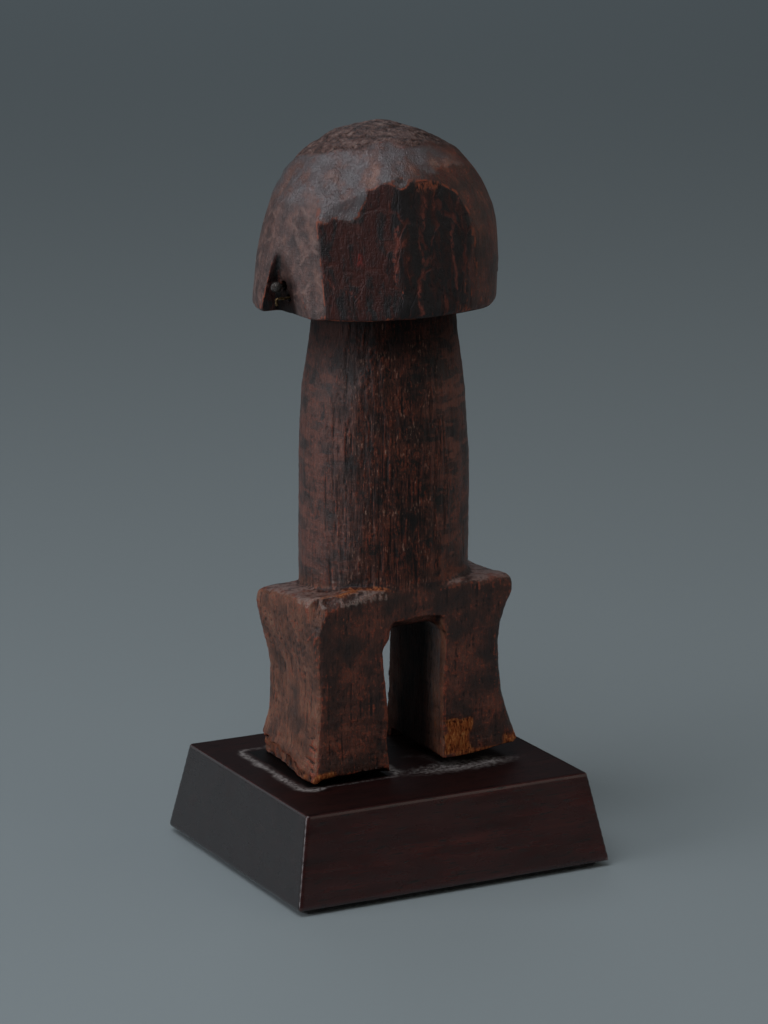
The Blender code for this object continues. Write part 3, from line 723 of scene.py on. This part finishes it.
def hardwood_colour(tree, found):
    """The wood's colours, from the bare red-brown up to the film, the flakes and the chips, with painted
    sheen, highlight and shade laid over them.
    """
    ramp = {}
    for name, pattern, stops in (
        ("skin", "patch", ((0.34, "34201A"), (0.46, "4A2A1F"), (0.56, "603527"), (0.68, "7E4936"))),
        ("tan", "patch", ((0.36, "523324"), (0.46, "704632"), (0.56, "885A42"), (0.68, "A07257"))),
        ("left_sheen", "stain", ((0.36, "3C2C29"), (0.48, "58423C"), (0.58, "70524A"), (0.68, "866456"))),
        ("film_sheen", "patch", ((0.38, "6A6465"), (0.48, "645656"), (0.56, "705048"), (0.66, "926858"))),
        ("charcoal", "stain", ((0.38, "262222"), (0.54, "1E1818"), (0.66, "301A15"))),
        ("flakes", "flake", ((0.36, "3C2822"), (0.46, "5C4038"), (0.56, "785A50"), (0.68, "9C857A"))),
        ("rust", "grit", ((0.35, "7A3220"), (0.55, "A04A2E"), (0.72, "C0754C"))),
        ("ochre", "dash", ((0.36, "5A2810"), (0.46, "9C5028"), (0.58, "B86C36"), (0.68, "CC9058"))),
        ("grain", "fibre", ((0.34, "8E7C76"), (0.48, "DCD6D4"), (0.62, "FFFFFF"))),
        # painted shade, multiplied in where the shade mask is high
        ("dark", "painted_shade", ((0.0, "FFFFFF"), (1.0, "48342A"))),
        ("hollow_shade", "hollow", ((0.2, "FFFFFF"), (0.9, "75615A"))),
    ):
        stops = [(position, linear(colour)) for position, colour in stops]
        ramp[name] = add(tree, "ValToRGB", {"Fac": found[pattern]}, stops=stops)
    colour = laid_over(tree, found, ramp["skin"], [
        # torso and legs
        (linear("1C1A14"), 0.80, ("stain", 0.46, 0.38), ("torso",)),
        (linear("864A36"), 1.00, ("band", 0.50, 0.58), ("middle", 1.6, -0.2), ("torso",)),
        (linear("5A281D"), 0.80, ("streak", 0.50, 0.58), ("head",)),
        # painted light: lighter tan on the left-facing sides of the legs
        (ramp["tan"], 0.90, ("tan", 0.1, 0.9)),
        (ramp["rust"], 0.65, ("speck", 0.54, 0.60), ("patch", 0.44, 0.58)),
        (ramp["rust"], 1.00, ("dash", 0.56, 0.62), ("middle", -0.5, 1.0), ("patch", 0.42, 0.54)),
        (linear("D0A68E"), 0.80, ("dash", 0.58, 0.64), ("stain", 0.46, 0.58), ("middle",)),
        (linear("140C09"), 1.00, ("dash", 0.42, 0.34), ("middle", -1.0, 1.0)),
        # painted sheen: the left side of the head and torso and the film above it are coloured grey as
        # reflected light, over their own crackle and creases
        (ramp["left_sheen"], 0.85, ("side", 0.0, 1.0)),
        (linear("9A7A6E"), 0.50, ("crackle", 0.12, 0.01), ("side",), ("head",), ("patch", 0.42, 0.58)),
        (ramp["film_sheen"], 1.00, ("gloss",)),
        (linear("2A2020"), 0.60, ("crumple", 0.012, 0.002), ("gloss",), ("stain", 0.46, 0.60)),
        # the face: charcoal scales, streaks, veins, the red side and spot
        (ramp["charcoal"], 1.00, ("front",)),
        (linear("3E1E18"), 0.70, ("streak", 0.50, 0.60), ("front",)),
        (linear("7E3C2B"), 0.60, ("streak", 0.61, 0.68), ("front",)),
        (linear("74382A"), 0.45, ("web", 0.07, 0.01), ("front",), ("patch", 0.46, 0.56)),
        (linear("461E17"), 0.80, ("red", 0.3, 0.8), ("streak", 0.40, 0.52)),
        (linear("1C1211"), 0.25, ("red", 0.3, 0.8), ("crumple", 0.03, 0.01)),
        (linear("8A483A"), 0.80, ("vein", 0.1, 1.0), ("speck", 0.36, 0.54)),
        (linear("8C2C24"), 0.90, ("spot", 0.0, 1.0), ("dash", 0.38, 0.56)),
        (linear("A04E2E"), 0.80, ("front", 0.12, 0.50), ("front", 0.90, 0.60), ("stain", 0.46, 0.56)),
        (linear("A2573A"), 0.85, ("lip", 0.0, 1.0), ("dash", 0.40, 0.58)),
        # worn edges, the crown, a painted highlight on the upward hip tops, and fresh chips
        (ramp["rust"], 0.85, ("ridge", 0.35, 0.85), ("stain", 0.42, 0.54)),
        (ramp["flakes"], 1.00, ("crown",)),
        (linear("8E7268"), 1.00, ("ledge_highlight", 0.2, 0.8), ("flake", 0.40, 0.56)),
        (linear("A8958A"), 0.60, ("pale", 0.15, 0.7), ("grit", 0.34, 0.50)),
        (ramp["ochre"], 0.90, ("bare", 0.30, 0.62)),
    ])
    return laid_over(tree, found, colour, [
        (ramp["grain"], 1.0, ("torso", -0.8, 1.0), ("middle", -0.9, 0.8)),
        # painted shade
        (ramp["dark"], 1.0),
        # painted shade in the hollows and cracks
        (ramp["hollow_shade"], 1.0),
    ], blend="MULTIPLY")


# ---------------------------------------------------------------- plinth and felt

def sculpt_plinth():
    """A planed and varnished block with rubbed arrises, small dents and dust round the feet."""
    surface = Surface("plinth", PLINTH_VOXEL)
    worn = smoothstep(0.03, 0.09, surface.ridge(1))
    surface.push(-0.12 * worn * smoothstep(0.0, 0.6, surface.sample(3, (0.16, 0.16, 0.16))))
    surface.push(0.05 * surface.sample(2, (0.03, 0.09, 0.09)) - 0.03)
    # a few small dents
    surface.push(-0.22 * (1 - smoothstep(0.0, 0.05, surface.cells((0.055, 0.055, 0.055)))))

    x, y, z = surface.points.T
    facing = surface.normals()
    top = smoothstep(0.8, 0.95, facing[:, 2])
    left_foot = footprint(x, y, -29.0, -6.6, -13.6, 20.2)
    outline = np.minimum(left_foot, footprint(x, y, 7.0, 30.0, -13.0, 16.0) + 1.2)
    drift = surface.sample(3, (0.09, 0.09, 0.09), 4.0)
    ring = np.exp(-(left_foot - 3.0 - 1.3 * drift) ** 2) * (0.55 + 0.45 * smoothstep(-0.4, 0.4, drift))
    film = (1 - smoothstep(2.5, 8.0, outline)) * 0.34 * smoothstep(-0.4, 0.5, drift)
    before = (1 - smoothstep(1.0, 8.0, np.hypot((x - 14.0) * 0.30, y + 15.0))) * 0.8
    grains = smoothstep(-0.4, 0.4, surface.sample(4, (0.8, 0.8, 0.8)))
    surface.masks = {
        "dust": top * np.clip(ring * (0.45 + 0.4 * grains) + film + before * (0.4 + 0.5 * grains), 0, 1),
        # painted shadow: near black on the top close round the left foot
        "foot_shadow": top * (1 - smoothstep(0.0, 2.2, left_foot)),
        "ridge": smoothstep(0.02, 0.07, surface.ridge(0)),
        "top": top,
        "end": smoothstep(0.7, 0.9, np.abs(facing[:, 0])),
    }
    surface.push(0.05 * surface.masks["dust"] * grains)
    return surface.finish(
        "plinth_block", "base", "plinth", varnished_mahogany(), PLINTH_TRIANGLES,
    )


def footprint(x, y, left, right, front, back):
    """Distance outside a foot's outline, in mm."""
    across = np.maximum(np.maximum(left - x, x - right), 0.0)
    along = np.maximum(np.maximum(front - y, y - back), 0.0)
    return np.hypot(across, along)


def varnished_mahogany():
    """Mahogany, planed, stained and varnished.

    The eye sees dark red-brown wood with black pores 3 to 5 mm long under a satin film, pale along the
    arrises where they are rubbed and where an edge highlight is painted, a top painted darker as shade, a
    painted shadow close round the left foot, and grey dust caught round the feet.
    """
    material, shader = new_material("varnished_mahogany")
    tree = material.node_tree
    found = patterns(tree, ("dust", "foot_shadow", "ridge", "top", "end"), {
        "figure": ((45.0, 5.0, 4.0), 5.0),      # growth bands along the board
        "pore": ((4.5, 0.42, 0.42), 2.0),       # open pores, 3 to 5 mm long
        "tone": ((12.0, 9.0, 6.0), 4.0),
        "speck": ((0.9, 0.9, 0.9), 3.0),        # grains of dust
        "smear": ((14.0, 14.0, 5.0), 4.0),      # rubbed and dull places in the varnish
    })
    colour = add(tree, "ValToRGB", {"Fac": found["figure"]}, stops=[
        (0.32, linear("2A0F0D")), (0.52, linear("401815")), (0.70, linear("54231D")),
    ])
    colour = laid_over(tree, found, colour, [
        (linear("361614"), 0.70, ("tone", 0.45, 0.65)),
        # painted shade: the top coloured darker than the sides
        (linear("1C100F"), 0.80, ("top", 0.0, 1.0)),
        (linear("1E1615"), 0.85, ("end", 0.0, 1.0)),
        (linear("0C0505"), 1.00, ("pore", 0.42, 0.34)),
        # pale arrises: rubbed varnish, with a painted edge highlight
        (linear("7C5A50"), 0.70, ("ridge", 0.35, 0.8), ("smear", 0.35, 0.6)),
        (linear("9A9490"), 1.00, ("dust", 0.10, 0.95), ("speck", 0.30, 0.56)),
        # painted shadow round the left foot
        (linear("080606"), 1.00, ("foot_shadow", 0.2, 0.9)),
    ])
    tree.links.new(colour, shader.inputs["Base Color"])
    gloss = add(tree, "MapRange", {
        "Value": found["smear"], "From Min": 0.3, "From Max": 0.7, "To Min": 0.20, "To Max": 0.34,
    })
    gloss = laid_over(tree, found, gloss, [
        (0.80, 1.0, ("dust",)),
        (0.90, 1.0, ("foot_shadow",)),
        (0.58, 1.0, ("top",)),
    ], kind="FLOAT")
    tree.links.new(gloss, shader.inputs["Roughness"])
    shader.inputs["IOR"].default_value = 1.5
    # the top is rubbed dull, the sides keep their varnish
    shine = add(tree, "MapRange", {"Value": found["top"], "To Min": 0.5, "To Max": 0.12})
    tree.links.new(shine, shader.inputs["Specular IOR Level"])
    varnish = add(tree, "MapRange", {"Value": found["top"], "To Min": 0.6, "To Max": 0.0})
    tree.links.new(varnish, shader.inputs["Coat Weight"])
    shader.inputs["Coat Roughness"].default_value = 0.16
    height = add(tree, "Math", {0: found["speck"], 1: found["dust"]}, operation="MULTIPLY")
    pore = add(tree, "MapRange", {
        "Value": found["pore"], "From Min": 0.28, "From Max": 0.42,
    }, interpolation_type="SMOOTHSTEP")
    height = add(tree, "Math", {0: pore, 1: 0.5, 2: height}, operation="MULTIPLY_ADD")
    relief = add(tree, "Bump", {"Height": height, "Strength": 0.6, "Distance": 0.08 * MM})
    tree.links.new(relief, shader.inputs["Normal"])
    return material


def cut_felt():
    """A die-cut felt pad: flat below, a little fuzzy at its edge."""
    surface = Surface("base_felt", FELT_VOXEL)
    surface.smooth(2)
    to_low, to_high = surface.points - surface.low, surface.high - surface.points
    edge = smoothstep(2.0, 0.0, np.minimum(to_low, to_high)[:, :2].min(axis=1))
    surface.push(-0.18 * edge * smoothstep(-0.4, 0.6, surface.sample(3, (0.7, 0.7, 0.7))))
    surface.push(0.05 * surface.sample(2, (0.6, 0.6, 0.6)) - 0.03)
    pad = surface.finish("felt_pad", "base", "base_felt", wool_felt(), FELT_TRIANGLES)


def wool_felt():
    """Wool felt, pressed and dyed black: matt, with loose fibres and lint that catch the light."""
    material, shader = new_material("black_wool_felt")
    tree = material.node_tree
    found = patterns(tree, (), {
        "fibre": ((0.25, 1.1, 0.5), 4.0),       # fibres a millimetre long, lying both ways
        "cross": ((1.1, 0.25, 0.5), 4.0),
        "lint": ((0.7, 0.7, 0.7), 2.0),
    })
    woven = add(tree, "Math", {0: found["fibre"], 1: found["cross"]}, operation="MAXIMUM")
    colour = add(tree, "ValToRGB", {"Fac": woven}, stops=[
        (0.45, linear("141414")), (0.60, linear("242423")), (0.75, linear("383735")),
    ])
    lint = add(tree, "MapRange", {"Value": found["lint"], "From Min": 0.68, "From Max": 0.74})
    colour = add(tree, "Mix", {0: lint, 6: colour, 7: linear("6C6862")}, out=2, data_type="RGBA")
    tree.links.new(colour, shader.inputs["Base Color"])
    shader.inputs["Roughness"].default_value = 0.95
    shader.inputs["IOR"].default_value = 1.45
    shader.inputs["Sheen Weight"].default_value = 0.3
    shader.inputs["Sheen Roughness"].default_value = 0.6
    relief = add(tree, "Bump", {"Height": woven, "Strength": 0.9, "Distance": 0.12 * MM})
    tree.links.new(relief, shader.inputs["Normal"])
    return material


# ---------------------------------------------------------------- metal pieces

def forge_studs():
    """Nails with hand-hammered heads, pitted by rust."""
    iron = forged_iron()
    for side in ("left", "right"):
        surface = Surface(side + "_ear_stud", STUD_VOXEL)
        surface.smooth(4)
        surface.push(-0.16 * (1 - smoothstep(0.0, 0.8, surface.cells((0.9, 0.9, 0.9)))))
        pits = smoothstep(0.2, 0.5, surface.sample(3, (2.2, 2.2, 2.2)))
        surface.push(-0.09 * pits)
        if side == "right":
            # struck flat when it was driven in
            surface.points[:, 0] = np.minimum(surface.points[:, 0], surface.high[0] - 1.1)
        ball = (surface.low + surface.high) / 2
        ball[0] = surface.low[0] + STUD_RADIUS if side == "left" else surface.high[0] - STUD_RADIUS
        from_ball = np.linalg.norm(surface.points - ball, axis=1)
        # painted shade: the shank, coloured near black as the shadow behind the ball
        surface.masks = {"pit": pits, "shank_shade": smoothstep(STUD_RADIUS - 0.1, STUD_RADIUS + 0.1, from_ball)}
        surface.finish(side + "_stud", "figure", side + "_ear_stud", iron)


def forged_iron():
    """Wrought iron, hammered and left to rust and be rubbed: grey-black, pitted, brown in the pits, with the
    shank painted near black as shade.
    """
    material, shader = new_material("forged_iron")
    tree = material.node_tree
    found = patterns(tree, ("pit", "shank_shade"), {
        "scale": ((0.5, 0.5, 0.5), 4.0),        # forge scale
        "pock": ((0.22, 0.22, 0.22), 3.0),      # rust pits
    })
    colour = add(tree, "ValToRGB", {"Fac": found["scale"]}, stops=[
        (0.35, linear("35302C")), (0.52, linear("5B5753")), (0.68, linear("827E79")),
    ])
    colour = laid_over(tree, found, colour, [
        (linear("2E1D14"), 1.0, ("pit",)),
        # painted shade on the shank
        (linear("100A08"), 1.0, ("shank_shade",)),
    ])
    tree.links.new(colour, shader.inputs["Base Color"])
    rusted = add(tree, "Math", {0: found["pit"], 1: found["shank_shade"]}, operation="MAXIMUM")
    metal = add(tree, "MapRange", {"Value": rusted, "To Min": 0.9, "To Max": 0.0})
    tree.links.new(metal, shader.inputs["Metallic"])
    gloss = add(tree, "MapRange", {"Value": found["scale"], "To Min": 0.62, "To Max": 0.38})
    gloss = laid_over(tree, found, gloss, [(0.95, 1.0, ("shank_shade",))], kind="FLOAT")
    tree.links.new(gloss, shader.inputs["Roughness"])
    shine = add(tree, "MapRange", {"Value": found["shank_shade"], "To Min": 0.5, "To Max": 0.0})
    tree.links.new(shine, shader.inputs["Specular IOR Level"])
    relief = add(tree, "Bump", {"Height": found["pock"], "Strength": 0.8, "Distance": 0.08 * MM})
    tree.links.new(relief, shader.inputs["Normal"])
    return material


def bend_wire():
    """The brass stub, softened at its bend and nicked where it was cut."""
    surface = Surface("ear_wire", WIRE_VOXEL)
    surface.smooth(4)
    surface.push(0.05 * surface.sample(3, (2.5, 2.5, 2.5)))
    surface.finish("brass_stub", "figure", "ear_wire", tarnished_brass())


def tarnished_brass():
    """Drawn brass wire, tarnished in the hand: dull gold with brown and a little green."""
    material, shader = new_material("tarnished_brass")
    tree = material.node_tree
    found = patterns(tree, (), {"tarnish": ((0.6, 0.6, 0.6), 4.0), "draw": ((1.5, 0.12, 0.12), 3.0)})
    colour = add(tree, "ValToRGB", {"Fac": found["tarnish"]}, stops=[
        (0.34, linear("2E261C")), (0.50, linear("5C4A34")), (0.66, linear("88724E")),
    ])
    tree.links.new(colour, shader.inputs["Base Color"])
    shader.inputs["Metallic"].default_value = 1.0
    gloss = add(tree, "MapRange", {"Value": found["tarnish"], "To Min": 0.65, "To Max": 0.3})
    tree.links.new(gloss, shader.inputs["Roughness"])
    relief = add(tree, "Bump", {"Height": found["draw"], "Strength": 0.5, "Distance": 0.03 * MM})
    tree.links.new(relief, shader.inputs["Normal"])
    return material


def turn_pins():
    """Cut lengths of drawn rod with filed ends."""
    steel = drawn_steel()
    for side in ("left", "right"):
        low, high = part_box(side + "_mount_pin")
        bm = bmesh.new()
        radius = (high.x - low.x) / 2
        made = bmesh.ops.create_cone(
            bm, cap_ends=True, segments=64, radius1=radius, radius2=radius, depth=high.z - low.z,
        )
        bmesh.ops.translate(bm, vec=(low + high) / 2, verts=made["verts"])
        ends = [edge for edge in bm.edges if abs(edge.verts[0].co.z - edge.verts[1].co.z) < MM]
        bmesh.ops.bevel(
            bm, geom=ends, offset=PIN_CHAMFER, segments=3, profile=0.5, affect="EDGES", material=-1,
        )
        mesh = bpy.data.meshes.new(side + "_pin")
        bm.to_mesh(mesh)
        bm.free()
        mesh.shade_smooth()
        mesh.set_sharp_from_angle(angle=math.radians(40))
        mesh.materials.append(steel)
        link(side + "_pin", mesh, "base", side + "_mount_pin")


def drawn_steel():
    """Mild steel rod, cold drawn: fine bright lines along it, and specks of rust."""
    material, shader = new_material("drawn_mild_steel")
    tree = material.node_tree
    found = patterns(tree, (), {"draw": ((0.12, 0.12, 9.0), 3.0), "rust": ((1.3, 1.3, 2.2), 5.0)})
    rust = add(tree, "MapRange", {"Value": found["rust"], "From Min": 0.56, "From Max": 0.66})
    colour = add(tree, "Mix", {0: rust, 6: linear("9C9A97"), 7: linear("5E3A22")}, out=2, data_type="RGBA")
    tree.links.new(colour, shader.inputs["Base Color"])
    metal = add(tree, "MapRange", {"Value": rust, "To Min": 1.0, "To Max": 0.2})
    tree.links.new(metal, shader.inputs["Metallic"])
    gloss = add(tree, "MapRange", {"Value": rust, "To Min": 0.32, "To Max": 0.75})
    tree.links.new(gloss, shader.inputs["Roughness"])
    relief = add(tree, "Bump", {"Height": found["draw"], "Strength": 0.5, "Distance": 0.03 * MM})
    tree.links.new(relief, shader.inputs["Normal"])
    return material


def main():
    """Set up the studio and build every piece."""
    make_camera()
    make_room()
    sculpt_carving()
    forge_studs()
    bend_wire()
    sculpt_plinth()
    turn_pins()
    cut_felt()


main()
